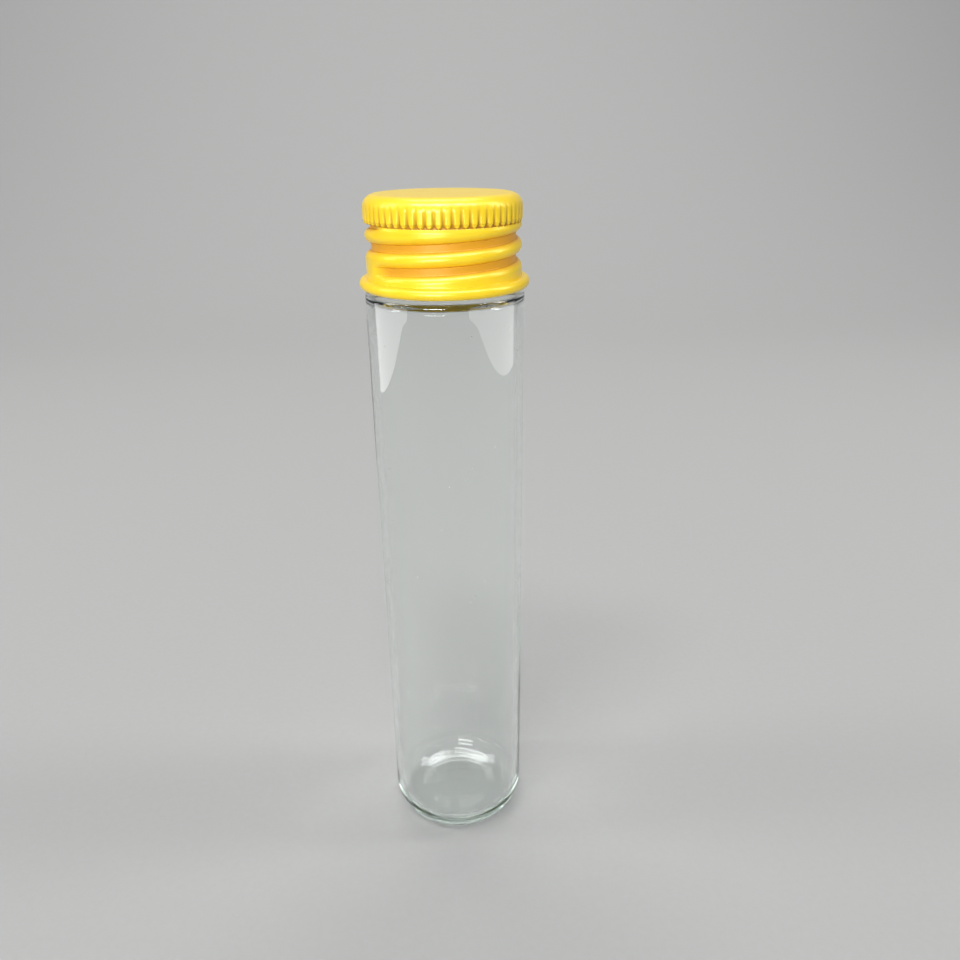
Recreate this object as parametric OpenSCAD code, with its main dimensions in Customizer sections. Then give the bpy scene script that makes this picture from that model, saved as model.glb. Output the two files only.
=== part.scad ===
// Small screw-capped glass sample vial.
// A flat-bottomed glass tube with a threaded neck, a pressed aluminium screw cap
// with a knurled band and a curled rim, and the three-ply liner inside the cap.
// +Z is up, the origin is the centre of the base, and all sizes are millimetres.

/* [Glass tube] */
// Outside diameter of the tube
tube_d = 22; // [22:0.5:26]
// Height of the glass, base to lip
glass_h = 102.1; // [60:0.1:150]
// Thickness of the tube wall
wall_t = 1.15; // [1:0.05:1.4]
// Thickness of the bottom above the flat it stands on
bottom_t = 1.7; // [1.3:0.1:2.5]
// Outside radius of the heel
heel_r = 5; // [4:0.5:6]
// Height of the shallow push-up under the bottom
push_up = 0.4; // [0.2:0.1:0.7]

/* [Neck] */
// Outside diameter of the neck between its threads
neck_d = 18.4; // [18:0.1:18.6]
// Diameter of the mouth
mouth_d = 15.4; // [14:0.2:15.8]
// Height of the neck, shoulder to lip
neck_h = 12.2; // [12:0.1:14]
// Radius of the rounded lip
lip_r = 0.6; // [0.4:0.1:0.7]

/* [Thread] */
// Rise of the thread in one turn
pitch = 2.85; // [2.7:0.05:3]
// Height of the glass thread above the neck
ridge_h = 0.85; // [0.6:0.05:0.9]
// Turns of thread on the glass
ridge_turns = 1.5; // [1:0.1:1.6]

/* [Cap] */
// Height of the cap
cap_h = 12.25; // [12.1:0.05:12.5]
// Outside diameter of the threaded skirt
skirt_d = 21.24; // [21.2:0.02:21.4]
// Thickness of the aluminium sheet
sheet_t = 0.28; // [0.22:0.02:0.3]
// Depth of the rolled groove
groove_depth = 0.82; // [0.6:0.02:0.84]
// Turns of the rolled groove
groove_turns = 2.05; // [1.8:0.05:2.1]
// Outside diameter of the curled rim
rim_d = 23.3; // [23:0.1:24]
// Radius of the rim's bead
bead_r = 0.65; // [0.55:0.05:0.7]
// Radius of the cap's top edge
top_edge_r = 1.7; // [1.4:0.1:1.8]

/* [Knurl] */
// Outside diameter of the knurled band
knurl_d = 21.3; // [21.2:0.1:21.6]
// Number of flutes in the band
flute_count = 58; // [40:1:60]
// Height of the knurled band
knurl_h = 2.3; // [1.8:0.1:2.4]

/* [Liner] */
// Diameter of the foam disc
liner_d = 19.3; // [19.1:0.1:19.4]
// Thickness of the foam
foam_t = 1; // [0.9:0.1:1.1]
// Thickness of each facing film
film_t = 0.08; // [0.06:0.01:0.1]

/* [Hidden] */
$fn = 96;

// Glass heights and radii
tube_r = tube_d / 2;
bore_r = tube_r - wall_t;
neck_r = neck_d / 2;
mouth_r = mouth_d / 2;
shoulder_z = glass_h - neck_h;
shoulder_r = 1.2;
inner_heel_r = heel_r - wall_t;
inner_shoulder_r = 1.6;
inner_shoulder_z = shoulder_z - 1.1;
inner_neck_z = inner_shoulder_z + inner_shoulder_r;
foot_r = tube_r - heel_r;
dish_r = foot_r - 1;
dish_curve_r = (dish_r * dish_r + push_up * push_up) / (2 * push_up);

// Liner heights
core_z = glass_h + film_t;
back_z = core_z + foam_t;
liner_top = back_z + film_t;
liner_edge = 0.7;
seat_gap = 0.06;

// Cap heights and radii
cap_top = liner_top + seat_gap + sheet_t;
rim_z = cap_top - cap_h;
rim_r = rim_d / 2;
skirt_r = skirt_d / 2;
knurl_r = knurl_d / 2;
band_in_r = knurl_r - 0.6;
band_top = cap_top - top_edge_r;
band_z = band_top + 0.4 - knurl_h;
bead_z = rim_z + bead_r;
hem_z = rim_z + 1.55;

// The rolled groove and, half a pitch above it, the glass thread
groove_start = 206;
groove_start_z = rim_z + 2.79;
groove_end = groove_start + 360 * groove_turns;
groove_half_w = 1.05;
groove_run_out = 20;
ridge_start = 303;
ridge_end = ridge_start + 360 * ridge_turns;
ridge_half_w = 0.85;
ridge_run_out = 28;
ridge_sink = 0.12;
ridge_root_r = neck_r - 0.3;

// Steps of the two helical surfaces
skirt_sides = 60;
skirt_levels = 22;
skirt_low = hem_z - 0.35;
skirt_high = band_z + 0.3;
ridge_step = 7.5;
ridge_points = 6;

// 1 at the middle of a rolled section, falling smoothly to 0 at its edges
function swell(u, half_w) = abs(u) >= half_w ? 0 : (1 + cos(180 * u / half_w)) / 2;

// 1 along a thread, falling smoothly to 0 over its last degrees
function run_out(a, first, last, length) =
    let (s = min(a - first, last - a) / length)
    s <= 0 ? 0 : s >= 1 ? 1 : (1 - cos(180 * s)) / 2;

function groove_z(a) = groove_start_z + pitch * (a - groove_start) / 360;

// 1 below the knurled band, 0 where the groove would run up into it
function under_band(z) = min(1, max(0, (band_z - z) / 0.4));

function groove_at(a, z) =
    run_out(a, groove_start, groove_end, groove_run_out) * swell(z - groove_z(a), groove_half_w);

// Outer radius of the skirt at azimuth a and height z
function skirt_out(a, z) =
    skirt_r - groove_depth * under_band(z) * max([for (turn = [0:3]) groove_at(a + 360 * turn, z)]);

function polar(r, a, z) = [r * cos(a), r * sin(a), z];

// Outline of the glass from the axis outwards, without its hollow
module glass_outline() {
    square([foot_r, shoulder_z]);
    translate([0, heel_r]) square([tube_r, shoulder_z - heel_r]);
    translate([foot_r, heel_r]) circle(heel_r);
    translate([tube_r - shoulder_r, shoulder_z]) circle(shoulder_r);
    translate([0, heel_r]) square([tube_r - shoulder_r, shoulder_z + shoulder_r - heel_r]);
    translate([0, heel_r]) square([neck_r, glass_h - lip_r - heel_r]);
    translate([neck_r - lip_r, glass_h - lip_r]) circle(lip_r);
    translate([0, heel_r]) square([neck_r - lip_r, glass_h - heel_r]);
}

module hollow_outline() {
    translate([0, bottom_t]) square([foot_r, inner_shoulder_z]);
    translate([foot_r, bottom_t + inner_heel_r]) circle(inner_heel_r);
    translate([0, bottom_t + inner_heel_r])
        square([bore_r, inner_shoulder_z - bottom_t - inner_heel_r]);
    translate([bore_r - inner_shoulder_r, inner_shoulder_z]) circle(inner_shoulder_r);
    translate([0, heel_r]) square([bore_r - inner_shoulder_r, inner_neck_z - heel_r]);
    translate([0, heel_r]) square([mouth_r, glass_h]);
}

// Right-handed ridge swept round the neck, sinking into it along its edges and at both ends
module glass_thread() {
    steps = ceil((ridge_end - ridge_start) / ridge_step);
    azimuths = [for (i = [0:steps]) ridge_start + (ridge_end - ridge_start) * i / steps];
    offsets = [for (j = [0:ridge_points]) ridge_half_w * (2 * j / ridge_points - 1)];
    count = ridge_points + 3;
    points = [
        for (a = azimuths)
            let (h = (ridge_h + ridge_sink) * run_out(a, ridge_start, ridge_end, ridge_run_out))
            let (z = groove_z(a) + pitch / 2)
            each concat(
                [polar(ridge_root_r, a, z - ridge_half_w)],
                [for (dz = offsets) polar(neck_r - ridge_sink + h * swell(dz, ridge_half_w), a, z + dz)],
                [polar(ridge_root_r, a, z + ridge_half_w)]
            )
    ];
    sides = [
        for (i = [0:steps - 1], j = [0:count - 1])
            let (k = (j + 1) % count, p = i * count, q = p + count)
            each [[p + j, q + k, q + j], [p + j, p + k, q + k]]
    ];
    first_end = [for (j = [count - 1:-1:0]) j];
    last_end = [for (j = [0:count - 1]) steps * count + j];
    polyhedron(points, concat(sides, [first_end, last_end]));
}

module glass_vial() {
    color([0.86, 0.93, 0.9, 0.35]) {
        rotate_extrude() difference() {
            intersection() {
                glass_outline();
                square([tube_r, glass_h]);
            }
            hollow_outline();
            translate([0, push_up - dish_curve_r]) circle(dish_curve_r);
        }
        glass_thread();
    }
}

module liner_face() {
    color([0.93, 0.94, 0.93])
        translate([0, 0, glass_h]) cylinder(h = film_t, d = liner_d);
}

// The foam's upper edge is squeezed to the round of the cap's top
module liner_core() {
    straight_t = foam_t * 0.4;
    color([0.97, 0.97, 0.95]) {
        translate([0, 0, core_z]) cylinder(h = straight_t, d = liner_d);
        translate([0, 0, core_z + straight_t])
            cylinder(h = foam_t - straight_t, r1 = liner_d / 2, r2 = liner_d / 2 - liner_edge);
    }
}

module liner_back() {
    color([0.93, 0.94, 0.93])
        translate([0, 0, back_z]) cylinder(h = film_t, r = liner_d / 2 - liner_edge);
}

// Half section of the closed top and the plain band under it
module cup_outline(r, edge_r, top) {
    translate([r - edge_r, band_top]) circle(edge_r);
    translate([0, band_z]) square([r, band_top - band_z]);
    translate([0, band_z]) square([r - edge_r, top - band_z]);
}

module cap_cup() {
    inner_top = cap_top - sheet_t;
    difference() {
        rotate_extrude() intersection() {
            difference() {
                cup_outline(knurl_r, top_edge_r, cap_top);
                cup_outline(band_in_r, inner_top - band_top, inner_top);
            }
            translate([0, band_z]) square([knurl_r, cap_top - band_z]);
        }
        knurl_flutes();
    }
}

module knurl_flutes() {
    flute_r = 0.42;
    flute_depth = 0.2;
    for (i = [0:flute_count - 1])
        rotate([0, 0, 360 * i / flute_count])
            translate([knurl_r + flute_r - flute_depth, 0, band_z - 1])
                cylinder(h = knurl_h + 1, r = flute_r, $fn = 24);
}

// Skirt of even thickness with the groove rolled into it, as a closed ring
module cap_skirt() {
    levels = [for (j = [0:skirt_levels]) skirt_low + (skirt_high - skirt_low) * j / skirt_levels];
    count = 2 * (skirt_levels + 1);
    points = [
        for (i = [0:skirt_sides - 1])
            let (a = 360 * i / skirt_sides)
            each concat(
                [for (z = levels) polar(min(skirt_out(a, z), buried_r(z)), a, z)],
                [for (j = [skirt_levels:-1:0])
                    polar(min(skirt_out(a, levels[j]), buried_r(levels[j])) - sheet_t, a, levels[j])]
            )
    ];
    faces = [
        for (i = [0:skirt_sides - 1], j = [0:count - 1])
            let (k = (j + 1) % count, p = i * count, q = ((i + 1) % skirt_sides) * count)
            each [[p + j, q + k, q + j], [p + j, p + k, q + k]]
    ];
    polyhedron(points, faces);
}

// The skirt's top edge leans in, so that it ends inside the band above
function buried_r(z) = skirt_r - 0.8 * max(0, z - band_z);

module cap_rim() {
    rotate_extrude() {
        translate([rim_r - bead_r, bead_z]) circle(bead_r);
        translate([skirt_r - sheet_t - 0.04, bead_z])
            square([sheet_t + 0.12, hem_z - bead_z]);
    }
}

module cap_shell() {
    color([0.93, 0.76, 0.12]) {
        cap_cup();
        cap_skirt();
        cap_rim();
    }
}

glass_vial();
liner_face();
liner_core();
liner_back();
cap_shell();
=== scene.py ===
# Glass sample vial with a gold-yellow screw cap, dressed round its CAD frame. Metres, +Z up.
import bpy
import math
import numpy as np
from mathutils import Matrix, Vector


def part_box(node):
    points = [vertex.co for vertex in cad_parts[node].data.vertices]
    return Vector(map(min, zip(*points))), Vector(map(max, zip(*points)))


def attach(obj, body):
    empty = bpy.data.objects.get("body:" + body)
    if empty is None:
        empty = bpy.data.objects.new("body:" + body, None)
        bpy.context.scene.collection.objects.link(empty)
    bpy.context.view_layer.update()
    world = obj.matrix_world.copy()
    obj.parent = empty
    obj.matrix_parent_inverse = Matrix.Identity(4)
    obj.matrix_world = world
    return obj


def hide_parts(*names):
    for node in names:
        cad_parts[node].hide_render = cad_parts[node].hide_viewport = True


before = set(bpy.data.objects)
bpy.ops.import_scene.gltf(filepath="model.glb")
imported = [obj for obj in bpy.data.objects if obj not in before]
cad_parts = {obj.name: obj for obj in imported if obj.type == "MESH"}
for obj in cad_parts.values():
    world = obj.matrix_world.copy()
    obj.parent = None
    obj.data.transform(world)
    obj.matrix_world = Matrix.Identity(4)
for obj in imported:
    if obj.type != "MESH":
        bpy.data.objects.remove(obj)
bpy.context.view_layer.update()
mm = 0.001

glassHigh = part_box("glass_vial")[1]
capLow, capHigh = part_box("cap_shell")
coreLow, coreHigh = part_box("liner_core")
backLow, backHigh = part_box("liner_back")
tubeRadius = glassHigh.x / mm
lipHeight = glassHigh.z / mm
rimHeight = capLow.z / mm
capHeight = capHigh.z / mm
pitch = 2.85  # rise of the screw thread in one turn
print("frame loaded: glass to", round(lipHeight, 2), "mm, cap to", round(capHeight, 2), "mm")


# Shared shapes, worked in millimetres


def swell(u, halfWidth):  # 1 in the middle, smooth to 0 at the edges
    return (1 + np.cos(math.pi * np.clip(np.abs(u) / halfWidth, 0, 1))) / 2


def smoothStep(x, low, high):
    t = np.clip((x - low) / (high - low), 0, 1)
    return t * t * (3 - 2 * t)


def runOut(a, first, last, length):  # 1 along a thread, smooth to 0 over its last degrees
    return smoothStep(np.minimum(a - first, last - a), 0, length)


def filletPath(corners, arcStep=9):  # corners are (radius, height, rounding), joined by lines and true arcs
    path = []
    for i, (r, z, rounding) in enumerate(corners):
        if rounding == 0:
            path.append((r, z))
            continue
        here = Vector((r, z))
        back = (Vector(corners[i - 1][:2]) - here).normalized()
        ahead = (Vector(corners[i + 1][:2]) - here).normalized()
        half = back.angle(ahead) / 2
        centre = here + (back + ahead).normalized() * (rounding / math.sin(half))
        spoke = here + back * (rounding / math.tan(half)) - centre
        sweep = math.pi - 2 * half
        side = 1 if back.x * ahead.y - back.y * ahead.x < 0 else -1
        steps = max(3, round(math.degrees(sweep) / arcStep))
        for k in range(steps + 1):
            angle = math.atan2(spoke.y, spoke.x) + side * sweep * k / steps
            path.append((centre.x + rounding * math.cos(angle), centre.y + rounding * math.sin(angle)))
    return path


def withSteps(path, longest):  # splits long straight stretches
    out = [path[0]]
    for (r0, z0), (r1, z1) in zip(path, path[1:]):
        parts = max(1, math.ceil(math.hypot(r1 - r0, z1 - z0) / longest))
        out += [(r0 + (r1 - r0) * k / parts, z0 + (z1 - z0) * k / parts) for k in range(1, parts + 1)]
    return out


def spunMesh(name, rows, azimuths):
    # rows of (radius, height) arrays round the axis; the first and last rows are single points on it
    count = len(azimuths)
    body = np.array([[r * np.cos(azimuths), r * np.sin(azimuths), z] for r, z in rows[1:-1]])
    body = body.transpose(0, 2, 1).reshape(-1, 3)
    poles = np.array([[0, 0, rows[0][1][0]], [0, 0, rows[-1][1][0]]])
    points = np.vstack([body, poles]) * mm
    turns = len(rows) - 2
    first, last = turns * count, turns * count + 1
    here = np.arange(count)
    beside = (here + 1) % count
    faces = [(first, int(b), int(a)) for a, b in zip(here, beside)]
    for t in range(turns - 1):
        low, high = t * count, (t + 1) * count
        faces += [(low + a, low + b, high + b, high + a) for a, b in zip(here.tolist(), beside.tolist())]
    end = (turns - 1) * count
    faces += [(last, end + int(a), end + int(b)) for a, b in zip(here, beside)]
    mesh = bpy.data.meshes.new(name)
    mesh.from_pydata(points.tolist(), [], faces)
    mesh.validate()
    mesh.shade_smooth()
    piece = bpy.data.objects.new(name, mesh)
    bpy.context.scene.collection.objects.link(piece)
    return piece


def paintMask(piece, name, values):  # one number a vertex, read by the material
    mask = piece.data.attributes.new(name, "FLOAT", "POINT")
    mask.data.foreach_set("value", np.asarray(values, dtype=np.float32))


def around(count):
    return np.arange(count) * 2 * math.pi / count


# Material helpers


def newMaterial(name):
    material = bpy.data.materials.new(name)
    material.use_nodes = True
    nodes = material.node_tree.nodes
    shader = nodes["Principled BSDF"]
    return material, nodes, material.node_tree.links, shader


def setInputs(node, values):
    for key, value in values.items():
        node.inputs[key].default_value = value


def noiseAt(nodes, links, scale, detail=3, stretch=(1, 1, 1)):  # noise in the piece's own metres
    place = nodes.new("ShaderNodeTexCoord")
    squeeze = nodes.new("ShaderNodeMapping")
    squeeze.inputs["Scale"].default_value = stretch
    noise = nodes.new("ShaderNodeTexNoise")
    setInputs(noise, {"Scale": scale, "Detail": detail})
    links.new(place.outputs["Object"], squeeze.inputs["Vector"])
    links.new(squeeze.outputs["Vector"], noise.inputs["Vector"])
    return noise.outputs["Fac"]


def remap(nodes, links, source, low, high, newLow, newHigh):
    node = nodes.new("ShaderNodeMapRange")
    setInputs(node, {"From Min": low, "From Max": high, "To Min": newLow, "To Max": newHigh})
    links.new(source, node.inputs["Value"])
    return node.outputs["Result"]


def mixColours(nodes, links, amount, first, second):
    node = nodes.new("ShaderNodeMix")
    node.data_type = "RGBA"
    links.new(amount, node.inputs["Factor"])
    for socket, value in ((node.inputs["A"], first), (node.inputs["B"], second)):
        if isinstance(value, tuple):
            socket.default_value = (*value, 1)
        else:
            links.new(value, socket)
    return node.outputs["Result"]


def combine(nodes, links, operation, first, second):
    node = nodes.new("ShaderNodeMath")
    node.operation = operation
    for socket, value in zip(node.inputs, (first, second)):
        if isinstance(value, (int, float)):
            socket.default_value = value
        else:
            links.new(value, socket)
    return node.outputs["Value"]


def readMask(nodes, name):
    node = nodes.new("ShaderNodeAttribute")
    node.attribute_name = name
    return node.outputs["Fac"]


def addBump(nodes, links, shader, height, distance, strength=1.0):
    bump = nodes.new("ShaderNodeBump")
    setInputs(bump, {"Distance": distance, "Strength": strength})
    links.new(height, bump.inputs["Height"])
    links.new(bump.outputs["Normal"], shader.inputs["Normal"])


# Glass vial

glass = {
    "wall": 1.15,
    "bottom": 1.7,
    "pushUp": 0.4,
    "floorRise": 0.25,
    "heel": 5.0,
    "shoulderTop": 11.0,  # below the lip
    "shoulder": 0.9,
    "innerShoulder": 1.15,
    "innerShoulderDrop": 0.7,  # the inside turns in this far below the outside
    "neckFoot": 0.45,
    "neckRadius": 9.2,
    "mouthRadius": 7.7,
    "lipRounding": 0.6,
    "threadHeight": 0.85,
    "threadHalfWidth": 0.85,
    "threadStart": 303,  # azimuth in degrees
    "threadTurns": 1.5,
    "threadRunOut": 28,  # degrees over which each end of the ridge dies away
    "threadDropFromLip": 5.767,
    "columns": 256,
    "barrelRow": 2.5,  # longest step of the mesh along the wall
    "threadRow": 0.14,
    "waviness": 0.008,  # drawn tube is never quite even
    "waveFrom": (3, 12),  # heights where the waviness comes in
    "waveTo": (14, 12),  # and where it ends, below the lip
    "tint": (0.99, 0.997, 0.993),
    "depthTint": (0.25, 0.9, 0.62),  # seen where the light runs along the wall
    "depthDensity": 9.0,
}


def glassOutline():  # up the outside and down the inside
    shoulderTop = lipHeight - glass["shoulderTop"]
    foot = tubeRadius - glass["heel"]
    return filletPath([
        (0.01, glass["pushUp"], 0),
        (1.2, glass["pushUp"], 0),
        (foot - 1, 0, 0.8),
        (tubeRadius, 0, glass["heel"]),
        (tubeRadius, shoulderTop, glass["shoulder"]),
        (glass["neckRadius"], shoulderTop, glass["neckFoot"]),
        (glass["neckRadius"], lipHeight, glass["lipRounding"]),
        (glass["mouthRadius"], lipHeight, glass["lipRounding"]),
    ] + hollowCorners(shoulderTop))


def hollowCorners(shoulderTop):
    inner = tubeRadius - glass["wall"]
    floor = glass["bottom"]
    drop = glass["innerShoulderDrop"]
    return [
        (glass["mouthRadius"], shoulderTop - drop, drop),
        (inner, shoulderTop - drop, glass["innerShoulder"]),
        (inner, floor, glass["heel"] - glass["wall"]),
        (2.0, floor + glass["floorRise"], 1.5),
        (0.01, floor + glass["floorRise"], 0),
    ]


def glassRidge(azimuth, z):  # height of the moulded screw thread on the neck
    first = glass["threadStart"]
    last = first + 360 * glass["threadTurns"]
    total = np.zeros_like(azimuth)
    for turn in range(4):
        a = np.degrees(azimuth) + 360 * turn
        ridgeZ = lipHeight - glass["threadDropFromLip"] + pitch * (a - first) / 360
        along = runOut(a, first, last, glass["threadRunOut"])
        total = np.maximum(total, along * swell(z - ridgeZ, glass["threadHalfWidth"]))
    return glass["threadHeight"] * total


def tubeWave(azimuth, z, seed):  # slow unevenness left by drawing the tube
    broad = np.sin(2 * azimuth + seed + z * 0.05)
    narrow = np.sin(5 * azimuth - 1.7 * seed + z * 0.021)
    return glass["waviness"] * (broad + 0.6 * narrow)


def makeGlass():
    azimuth = around(glass["columns"])
    outline = glassOutline()
    neckTop = lipHeight - glass["lipRounding"]
    neckFoot = lipHeight - glass["shoulderTop"] + 0.3
    lipIndex = max(range(len(outline)), key=lambda i: outline[i][1])
    fine = []
    for i, ((r0, z0), (r1, z1)) in enumerate(zip(outline, outline[1:])):
        onNeck = i < lipIndex and min(z0, z1) > neckFoot and max(z0, z1) <= neckTop + 0.01
        fine += withSteps([(r0, z0), (r1, z1)], glass["threadRow" if onNeck else "barrelRow"])[:-1]
    fine.append(outline[-1])
    lipIndex = max(range(len(fine)), key=lambda i: fine[i][1])
    waveStart, waveEnd = glass["waveFrom"], [lipHeight - drop for drop in glass["waveTo"]]
    rows = []
    for i, (r, z) in enumerate(fine):
        radius = np.full_like(azimuth, r)
        if r > 1.5:
            barrel = float(smoothStep(z, *waveStart) * (1 - smoothStep(z, *waveEnd)))
            outer = i < lipIndex
            radius += barrel * (tubeWave(azimuth, z, 0.4) if outer else 2 * tubeWave(azimuth, z, 2.1))
        if i < lipIndex and neckFoot < z <= neckTop:
            radius += glassRidge(azimuth, z)
        rows.append((radius, np.full_like(azimuth, z)))
    piece = spunMesh("glassVial", rows, azimuth)
    piece.data.materials.append(glassMaterial())
    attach(piece, "vial")
    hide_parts("glass_vial")
    return piece


def glassMaterial():
    material, nodes, links, shader = newMaterial("clearTubeGlass")
    setInputs(shader, {"IOR": 1.52, "Transmission Weight": 1.0, "Roughness": 0.0})
    place = nodes.new("ShaderNodeTexCoord")
    specks = nodes.new("ShaderNodeTexVoronoi")
    setInputs(specks, {"Scale": 620.0})
    links.new(place.outputs["Object"], specks.inputs["Vector"])
    split = nodes.new("ShaderNodeSeparateColor")
    links.new(specks.outputs["Color"], split.inputs["Color"])
    near = combine(nodes, links, "LESS_THAN", specks.outputs["Distance"], 0.07)
    rare = combine(nodes, links, "GREATER_THAN", split.outputs["Red"], 0.93)
    dust = combine(nodes, links, "MULTIPLY", near, rare)
    smear = remap(nodes, links, noiseAt(nodes, links, 90, 4, (1, 1, 0.4)), 0.55, 0.8, 0.0, 0.05)
    links.new(mixColours(nodes, links, dust, glass["tint"], (0.9, 0.9, 0.88)), shader.inputs["Base Color"])
    speckRoughness = combine(nodes, links, "MULTIPLY", dust, 0.7)
    links.new(combine(nodes, links, "MAXIMUM", smear, speckRoughness), shader.inputs["Roughness"])
    depth = nodes.new("ShaderNodeVolumeAbsorption")
    setInputs(depth, {"Color": (*glass["depthTint"], 1), "Density": glass["depthDensity"]})
    links.new(depth.outputs["Volume"], nodes["Material Output"].inputs["Volume"])
    return material


# Screw cap

cap = {
    "sheet": 0.28,
    "topEdge": 1.7,
    "crown": 0.05,
    "bandRadius": 10.65,
    "bandDrop": 3.6,  # from the top to the lower ends of the knurls
    "knurls": 58,
    "knurlDepth": 0.3,
    "toothWidth": 0.58,  # share of each knurl that stands proud
    "toothRound": 0.5,
    "underBand": 0.1,  # how far the skirt starts inside the teeth
    "skirtRadius": 10.57,
    "grooveDepth": 0.8,
    "landHalfWidth": 0.95,
    "landFullness": 0.62,  # lower is rounder
    "shadeLineAt": 0.86,  # depth, as a share, where the painted shade line along each groove edge runs
    "shadeLineWidth": 0.13,
    "grooveStart": 206,
    "grooveStartHeight": 2.93,
    "grooveTurns": 2.05,
    "grooveRunOut": 20,
    "bead": 0.75,
    "beadCentre": 10.9,
    "beadFrom": 112,  # degrees round the curl
    "beadSweep": 312,
    "tuck": [(10.6, 1.55), (10.57, 1.49)],  # radius and height of the crease above the curl
    "hem": 1.62,  # where the straight skirt ends, above the foot of the rim
    "skirtRow": 0.046,  # fine rows, so that the slanting grooves come out smooth
    "innerRows": 40,
    "liningGap": 0.04,  # between the roof and the liner's back
    "columnsPerKnurl": 10,
    "lacquer": (0.82, 0.555, 0.01),
    # painted shade: a deeper orange for the grooves, standing in for light bounced between the yellow walls
    "paintedGrooveShade": (0.76, 0.34, 0.008),
    # painted shade: the dark colour laid along the groove edges and down the flutes
    "paintedShadeColour": (0.38, 0.16, 0.006),
    "lacquerPale": (0.86, 0.63, 0.025),
}
bandFoot = capHeight - cap["bandDrop"]
bandTop = capHeight - cap["topEdge"]


def grooveShape(u):  # flat floor between lands that bulge
    across = np.clip((pitch / 2 - np.abs(u)) / cap["landHalfWidth"], 0, 1)
    return 1 - (1 - across ** 2) ** cap["landFullness"]


def capGroove(azimuth, z):  # depth of the rolled groove, and a band along its two edges where shade is painted
    first = cap["grooveStart"]
    last = first + 360 * cap["grooveTurns"]
    depth = np.zeros_like(azimuth)
    edge = np.zeros_like(azimuth)
    for turn in range(4):
        a = np.degrees(azimuth) + 360 * turn
        grooveZ = rimHeight + cap["grooveStartHeight"] + pitch * (a - first) / 360
        shape = grooveShape(z - grooveZ)
        along = runOut(a, first, last, cap["grooveRunOut"])
        depth = np.maximum(depth, along * shape)
        fromCrease = (shape - cap["shadeLineAt"]) / cap["shadeLineWidth"]
        edge = np.maximum(edge, along * np.exp(-(fromCrease ** 2)))
    below = float(1 - smoothStep(z, bandFoot - 0.3, bandFoot + 0.05))
    return depth * below, edge * below


def capFlute(azimuth, z):  # narrow flutes, open at the foot between round-ended teeth
    fromTooth = np.abs((azimuth * cap["knurls"] / math.pi + 1) % 2 - 1)
    rise = np.clip((z - bandFoot) / cap["toothRound"], 0, 1)
    tooth = cap["toothWidth"] * math.sqrt(1 - (1 - rise) ** 2)
    shape = smoothStep(fromTooth, tooth - 0.1, tooth + 0.3)
    upper = float(1 - smoothStep(z, bandTop - 1.3, bandTop + 1.0))
    lower = float(smoothStep(z, bandFoot - 0.2, bandFoot - 0.05))
    deeper = 0.7 + 0.3 * float(1 - smoothStep(z, bandFoot, bandFoot + 1.2))
    return shape * upper * lower * deeper


def bandEnd(z):  # the skirt under the teeth starts a little further in
    tips = 1 - smoothStep(z, bandFoot - 0.1, bandFoot + 0.12)
    return cap["underBand"] * float(tips * smoothStep(z, bandFoot - 0.6, bandFoot - 0.1))


def capOutline():  # outside from the middle of the top down to the curled rim
    path = [(0.01, capHeight), (2.5, capHeight), (5, capHeight - 0.3 * cap["crown"])]
    edge = cap["topEdge"]
    centre = cap["bandRadius"] - edge
    path += [(7.2, capHeight - 0.7 * cap["crown"]), (centre - 0.3, capHeight - 0.96 * cap["crown"])]
    for k in range(17):
        angle = math.radians(90 - 90 * k / 16)
        path.append((centre + edge * math.cos(angle), bandTop + (edge - cap["crown"]) * math.sin(angle)))
    z = bandTop
    while z > bandFoot + 0.4:
        z -= 0.14
        path.append((cap["bandRadius"], z))
    hem = rimHeight + cap["hem"]
    steps = round((z - hem) / cap["skirtRow"])
    path += [(cap["skirtRadius"], z + (hem - z) * k / steps) for k in range(1, steps + 1)]
    return path


def rimOutline():  # the skirt tucks in, creases and rolls over into a bead
    bead = cap["bead"]
    centreZ = rimHeight + bead
    path = [(r, rimHeight + up) for r, up in cap["tuck"]]
    for k in range(25):
        angle = math.radians(cap["beadFrom"] - cap["beadSweep"] * k / 24)
        path.append((cap["beadCentre"] + bead * math.cos(angle), centreZ + bead * math.sin(angle)))
    return path


def makeCap():
    azimuth = around(cap["knurls"] * cap["columnsPerKnurl"])
    sheet = cap["sheet"]
    rows, groove, flute, crease = [], [], [], []

    def addRow(r, z, relief=1.0):
        g, edge = (part * relief for part in capGroove(azimuth, z))
        f = capFlute(azimuth, z) * relief
        inset = cap["grooveDepth"] * g + np.maximum(cap["knurlDepth"] * f, bandEnd(z) * relief)
        rows.append((r - inset, np.full_like(azimuth, z)))
        groove.append(g)
        flute.append(f)
        crease.append(edge)

    for r, z in capOutline():
        addRow(r, z, relief=float(r > 9.5))
    for r, z in rimOutline():
        addRow(r, z, relief=0.0)
    inner = cap["skirtRadius"] - sheet
    low = rimHeight + 0.65
    bandInside = bandFoot + 0.5
    for k in range(cap["innerRows"]):
        addRow(inner, low + (bandInside - low) * (k + 1) / cap["innerRows"], relief=float(k > 3))
    roof = capHeight - sheet - cap["liningGap"]
    innerEdge = cap["topEdge"] - sheet
    innerWall = cap["bandRadius"] - sheet
    for k in range(4):
        addRow(innerWall, bandInside + (bandTop - bandInside) * (k + 1) / 5)
    for k in range(9):
        angle = math.radians(90 * k / 8)
        r = innerWall - innerEdge + innerEdge * math.cos(angle)
        addRow(r, bandTop + (innerEdge - cap["liningGap"]) * math.sin(angle), relief=float(k < 4))
    for r in (6, 3, 0.01):
        addRow(r, roof, relief=0.0)
    piece = spunMesh("screwCap", rows, azimuth)
    # the crease and flute masks darken the lacquer as painted shade; the groove mask paints orange shade
    # into the grooves and dulls them
    for name, values in (("grooveDepth", groove), ("fluteDepth", flute), ("paintedShadeLine", crease)):
        paintMask(piece, name, np.append(np.concatenate(values[1:-1]), (0, 0)))
    piece.data.materials.append(capMaterial())
    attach(piece, "cap")
    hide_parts("cap_shell")
    return piece


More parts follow.
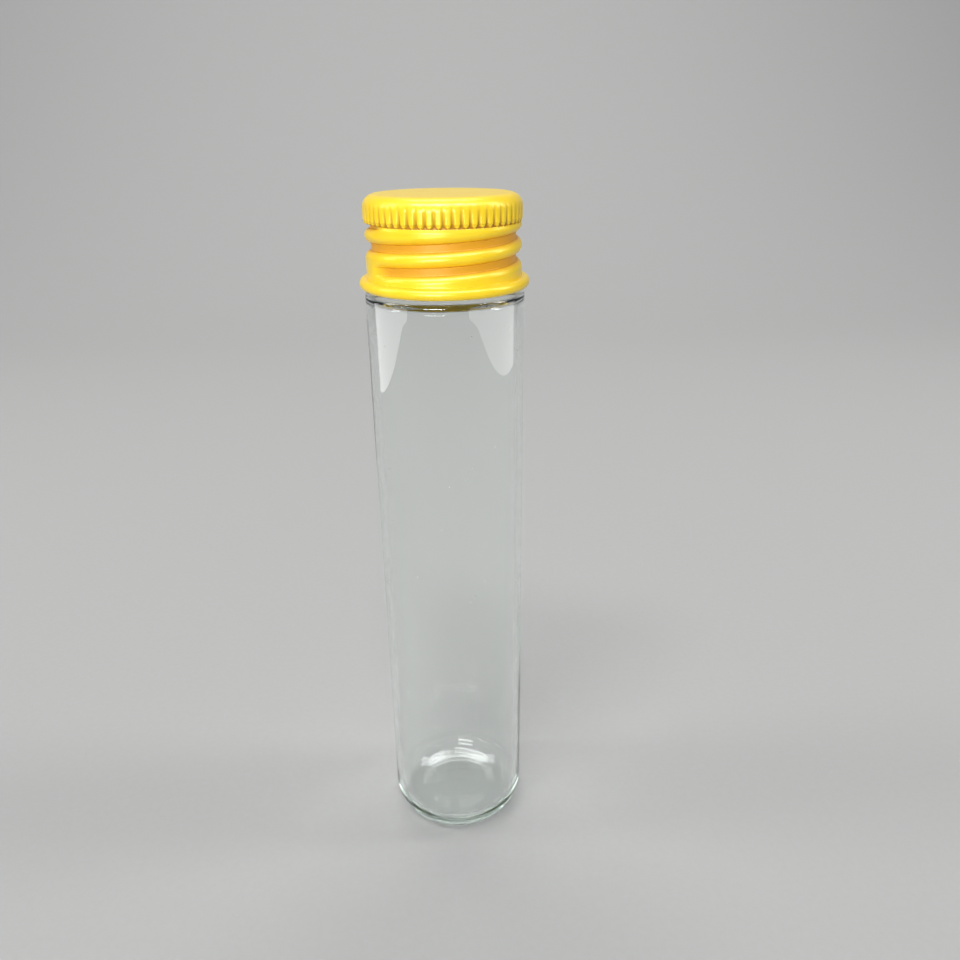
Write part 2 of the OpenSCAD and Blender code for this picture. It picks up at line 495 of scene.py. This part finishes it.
def capMaterial():
    material, nodes, links, shader = newMaterial("goldYellowLacquer")
    setInputs(shader, {"Metallic": 0.12, "Specular IOR Level": 0.4})
    setInputs(shader, {"Coat Weight": 0.25, "Coat Roughness": 0.25})
    masks = {name: readMask(nodes, name) for name in ("grooveDepth", "fluteDepth", "paintedShadeLine")}
    cloud = remap(nodes, links, noiseAt(nodes, links, 260, 4), 0.35, 0.7, 0.0, 0.6)
    base = mixColours(nodes, links, cloud, cap["lacquer"], cap["lacquerPale"])
    # painted shade: the grooves turn deeper orange, standing in for light bounced between the yellow walls
    grooveShadeAmount = combine(nodes, links, "MULTIPLY", masks["grooveDepth"], 0.85)
    base = mixColours(nodes, links, grooveShadeAmount, base, cap["paintedGrooveShade"])
    # painted shade: darker lacquer along the groove edges and down the flutes, where shade falls
    shade = combine(nodes, links, "ADD", combine(nodes, links, "MULTIPLY", masks["paintedShadeLine"], 0.6),
                    combine(nodes, links, "MULTIPLY", masks["fluteDepth"], 0.95))
    base = mixColours(nodes, links, shade, base, cap["paintedShadeColour"])
    links.new(base, shader.inputs["Base Color"])
    grain = noiseAt(nodes, links, 3200, 3, (1, 1, 2.5))
    satin = remap(nodes, links, grain, 0.3, 0.7, 0.29, 0.37)
    dull = combine(nodes, links, "MULTIPLY", masks["grooveDepth"], 0.22)
    links.new(combine(nodes, links, "ADD", satin, dull), shader.inputs["Roughness"])
    addBump(nodes, links, shader, grain, 0.000015, 0.4)
    return material


# Liner: foam between two films

liner = {
    "edge": 0.7,
    "lipMark": 0.03,  # ring pressed by the glass lip
    "lipMarkFrom": 7.65,
    "lipMarkTo": 9.3,
    "lipMarkSlope": 0.15,
    "corner": 0.03,
    "foamColour": (0.86, 0.86, 0.83),
    "foamShade": (0.74, 0.74, 0.71),
    "filmColour": (0.84, 0.86, 0.85),
    "filmShade": (0.78, 0.8, 0.8),
    "columns": 144,
}


def spunPiece(name, outline, columns, relief=None):
    azimuth = around(columns)
    rows = []
    for r, z in outline:
        height = np.full_like(azimuth, z)
        rows.append((np.full_like(azimuth, r) + (relief(azimuth, r, z) if relief else 0), height))
    return spunMesh(name, rows, azimuth)


def foamPits(azimuth, r, z):  # the cut edge of the foam is slightly ragged
    edge = float(r > 9.0)
    return -0.02 * edge * (1 + np.sin(37 * azimuth + 9 * z) * np.sin(61 * azimuth - 4 * z))


def makeLiner():
    radius = coreHigh.x / mm
    low, high = coreLow.z / mm, coreHigh.z / mm
    straight = low + (high - low) * 0.4
    foam = spunPiece("linerFoam", withSteps(filletPath([
        (0.01, high, 0),
        (radius - liner["edge"], high, 0.15),
        (radius, straight, 0.2),
        (radius, low, 0.08),
        (0.01, low, 0),
    ]), 0.6), liner["columns"], foamPits)
    foam.data.materials.append(foamMaterial())
    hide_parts("liner_core")
    faceLow, pressed = lipHeight, lipHeight + liner["lipMark"]
    markFrom, markTo, slope = liner["lipMarkFrom"], liner["lipMarkTo"], liner["lipMarkSlope"]
    face = spunPiece("linerFace", filletPath([
        (0.01, low, 0),
        (radius, low, liner["corner"]),
        (radius, faceLow, liner["corner"]),
        (markTo, faceLow, 0),
        (markTo - slope, pressed, 0),
        (markFrom + slope, pressed, 0),
        (markFrom, faceLow, 0),
        (0.01, faceLow, 0),
    ]), liner["columns"])
    backTop, backRadius = backHigh.z / mm, backHigh.x / mm
    back = spunPiece("linerBack", filletPath([
        (0.01, backTop, 0),
        (backRadius, backTop, liner["corner"]),
        (backRadius, backLow.z / mm, liner["corner"]),
        (0.01, backLow.z / mm, 0),
    ]), liner["columns"])
    for film, node in ((face, "liner_face"), (back, "liner_back")):
        film.data.materials.append(filmMaterial(film.name + "Film"))
        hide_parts(node)
    for piece in (foam, face, back):
        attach(piece, "liner")


def foamMaterial():
    material, nodes, links, shader = newMaterial("whiteFoam")
    place = nodes.new("ShaderNodeTexCoord")
    cells = nodes.new("ShaderNodeTexVoronoi")
    setInputs(cells, {"Scale": 4200.0})
    links.new(place.outputs["Object"], cells.inputs["Vector"])
    walls = remap(nodes, links, cells.outputs["Distance"], 0.0, 0.8, 0.0, 1.0)
    tone = mixColours(nodes, links, walls, liner["foamColour"], liner["foamShade"])
    links.new(tone, shader.inputs["Base Color"])
    setInputs(shader, {"Roughness": 0.85, "Subsurface Weight": 0.15, "Subsurface Scale": 0.0004})
    addBump(nodes, links, shader, walls, 0.00006, 0.6)
    return material


def filmMaterial(name):
    material, nodes, links, shader = newMaterial(name)
    mottle = noiseAt(nodes, links, 700, 4)
    tone = mixColours(nodes, links, mottle, liner["filmColour"], liner["filmShade"])
    links.new(tone, shader.inputs["Base Color"])
    links.new(remap(nodes, links, mottle, 0.3, 0.7, 0.22, 0.38), shader.inputs["Roughness"])
    setInputs(shader, {"Coat Weight": 0.2})
    addBump(nodes, links, shader, noiseAt(nodes, links, 2400, 3), 0.00002, 0.4)
    return material


# Studio: floor, light and camera

studio = {
    "floorReach": 0.9,
    "floorGap": 0.00003,  # keeps the paper clear of the glass that stands on it
    "sweepStart": 0.35,
    "sweepRadius": 0.35,
    "floorColour": (0.42, 0.42, 0.41),
    "worldColour": (0.93, 0.96, 1.0),
    "worldStrength": 0.36,
    "sideReach": 1.5,
    "wallTop": 1.2,
    "softboxes": [  # name, place, target, width, height, watts
        ("keySoftbox", (-0.12, -0.36, 0.75), (0, 0, 0.10), 0.42, 0.12, 2.9),
        ("frontSoftbox", (-0.14, -0.48, 0.15), (0, 0, 0.098), 0.28, 0.09, 2.3),
        ("leftSoftbox", (-0.50, 0.00, 0.40), (0, 0, 0.05), 0.12, 0.36, 0.8),
        ("rightSoftbox", (0.50, 0.00, 0.40), (0, 0, 0.05), 0.12, 0.36, 1.0),
        ("backdropSoftbox", (0.0, 0.30, 0.90), (0, 0.62, 0.10), 0.60, 0.20, 4.0),
    ],
    "lampHeight": 1.5,
    "lamps": [(-0.77, -0.57), (-0.10, -0.76), (0.45, -0.70), (0.90, -0.60)],
    "lampTarget": (0, 0, 0.09),
    "lampWidth": 0.11,
    "lampWatts": 8.0,
    "cards": [  # white cards that only the glass shows, in the same order
        ("leftCard", (-0.28, -0.075, 0.046), (-0.098, -0.158, 0.046), 0.385, 0.07, 0.24),
        ("rightCard", (0.20, -0.125, 0.056), (0, -0.13, 0.056), 0.41, 0.06, 0.17),
        ("overheadCard", (0, -0.05, 0.80), (0, 0, 0), 1.4, 0.45, 34.0),
    ],
}


def makeFloor():
    reach, start, radius = studio["floorReach"], studio["sweepStart"], studio["sweepRadius"]
    level = -studio["floorGap"]
    side = [(-reach, level), (start, level)]
    for k in range(1, 17):
        angle = math.radians(90 * k / 16)
        side.append((start + radius * math.sin(angle), level + radius * (1 - math.cos(angle))))
    side.append((start + radius, studio["wallTop"]))
    points = [(x, y, z) for y, z in side for x in (-studio["sideReach"], studio["sideReach"])]
    faces = [(2 * i, 2 * i + 1, 2 * i + 3, 2 * i + 2) for i in range(len(side) - 1)]
    mesh = bpy.data.meshes.new("studioFloor")
    mesh.from_pydata(points, [], faces)
    mesh.shade_smooth()
    floor = bpy.data.objects.new("studioFloor", mesh)
    bpy.context.scene.collection.objects.link(floor)
    material, nodes, links, shader = newMaterial("palePaper")
    grain = noiseAt(nodes, links, 900, 5)
    tone = studio["floorColour"]
    paper = mixColours(nodes, links, grain, tone, tuple(c * 0.94 for c in tone))
    links.new(paper, shader.inputs["Base Color"])
    setInputs(shader, {"Roughness": 0.8, "Specular IOR Level": 0.2})
    mesh.materials.append(material)


def makeLights(glassPiece, capPiece):
    world = bpy.data.worlds.new("studioWorld")
    world.use_nodes = True
    sky = world.node_tree.nodes["Background"]
    sky.inputs["Color"].default_value = (*studio["worldColour"], 1)
    sky.inputs["Strength"].default_value = studio["worldStrength"]
    bpy.context.scene.world = world
    onVial = bpy.data.collections.new("litFromTheFront")
    onVial.objects.link(glassPiece)
    onVial.objects.link(capPiece)
    for name, place, target, width, height, watts in studio["softboxes"]:
        softbox = addLight(name, place, target, width, height, watts)
        if name == "frontSoftbox":  # it stands low, and would burn a patch on the floor
            softbox.light_linking.receiver_collection = onVial
    width, watts = studio["lampWidth"], studio["lampWatts"]
    for i, (x, y) in enumerate(studio["lamps"]):
        place = (x, y, studio["lampHeight"])
        lamp = addLight(f"ceilingLamp{i + 1}", place, studio["lampTarget"], width, width, watts)
        lamp.data.shape = "DISK"
        lamp.visible_diffuse = False
    onGlass = bpy.data.collections.new("reflectionsOnGlass")
    onGlass.objects.link(glassPiece)
    for name, place, target, width, height, watts in studio["cards"]:
        card = addLight(name, place, target, width, height, watts)
        card.visible_transmission = place[2] > 0.5  # the low ones don't show through the glass
        card.light_linking.receiver_collection = onGlass
        card.visible_diffuse = False
        card.visible_camera = False


def addLight(name, place, target, width, height, watts):
    data = bpy.data.lights.new(name, "AREA")
    data.shape = "RECTANGLE"
    data.size, data.size_y = width, height
    data.energy = watts
    light = bpy.data.objects.new(name, data)
    light.location = place
    light.rotation_euler = (Vector(target) - Vector(place)).to_track_quat("-Z", "Y").to_euler()
    bpy.context.scene.collection.objects.link(light)
    return light


camera = {
    "lens": 30.0,  # on a 36 mm sensor
    "distance": 0.11209,  # in front of the vial's axis
    "height": 0.1109,
    "pitch": 23.57,  # degrees down
    "yaw": 2.316,
    "roll": -0.673,
}


def makeCamera():
    pitchDown, yaw, roll = (math.radians(camera[key]) for key in ("pitch", "yaw", "roll"))
    ahead = math.cos(pitchDown)
    forward = Vector((math.sin(yaw) * ahead, math.cos(yaw) * ahead, -math.sin(pitchDown)))
    level = forward.cross(Vector((0, 0, 1))).normalized()
    upright = level.cross(forward)
    right = level * math.cos(roll) + upright * math.sin(roll)
    up = upright * math.cos(roll) - level * math.sin(roll)
    data = bpy.data.cameras.new("productCamera")
    data.lens = camera["lens"]
    data.sensor_width = 36
    data.clip_start = 0.005
    holder = bpy.data.objects.new("productCamera", data)
    bpy.context.scene.collection.objects.link(holder)
    turn = Matrix((right, up, -forward)).transposed().to_4x4()
    holder.matrix_world = Matrix.Translation((0, -camera["distance"], camera["height"])) @ turn
    bpy.context.scene.camera = holder


makeCamera()
vial = makeGlass()
print("glass vial made")
screwCap = makeCap()
print("screw cap made")
makeLiner()
print("liner made")
makeFloor()
makeLights(vial, screwCap)
scene = bpy.context.scene
scene.view_settings.view_transform = "Standard"
scene.cycles.glossy_bounces = 16  # light runs a long way inside thick glass
scene.cycles.transmission_bounces = 24
scene.cycles.max_bounces = 32
print("studio ready")
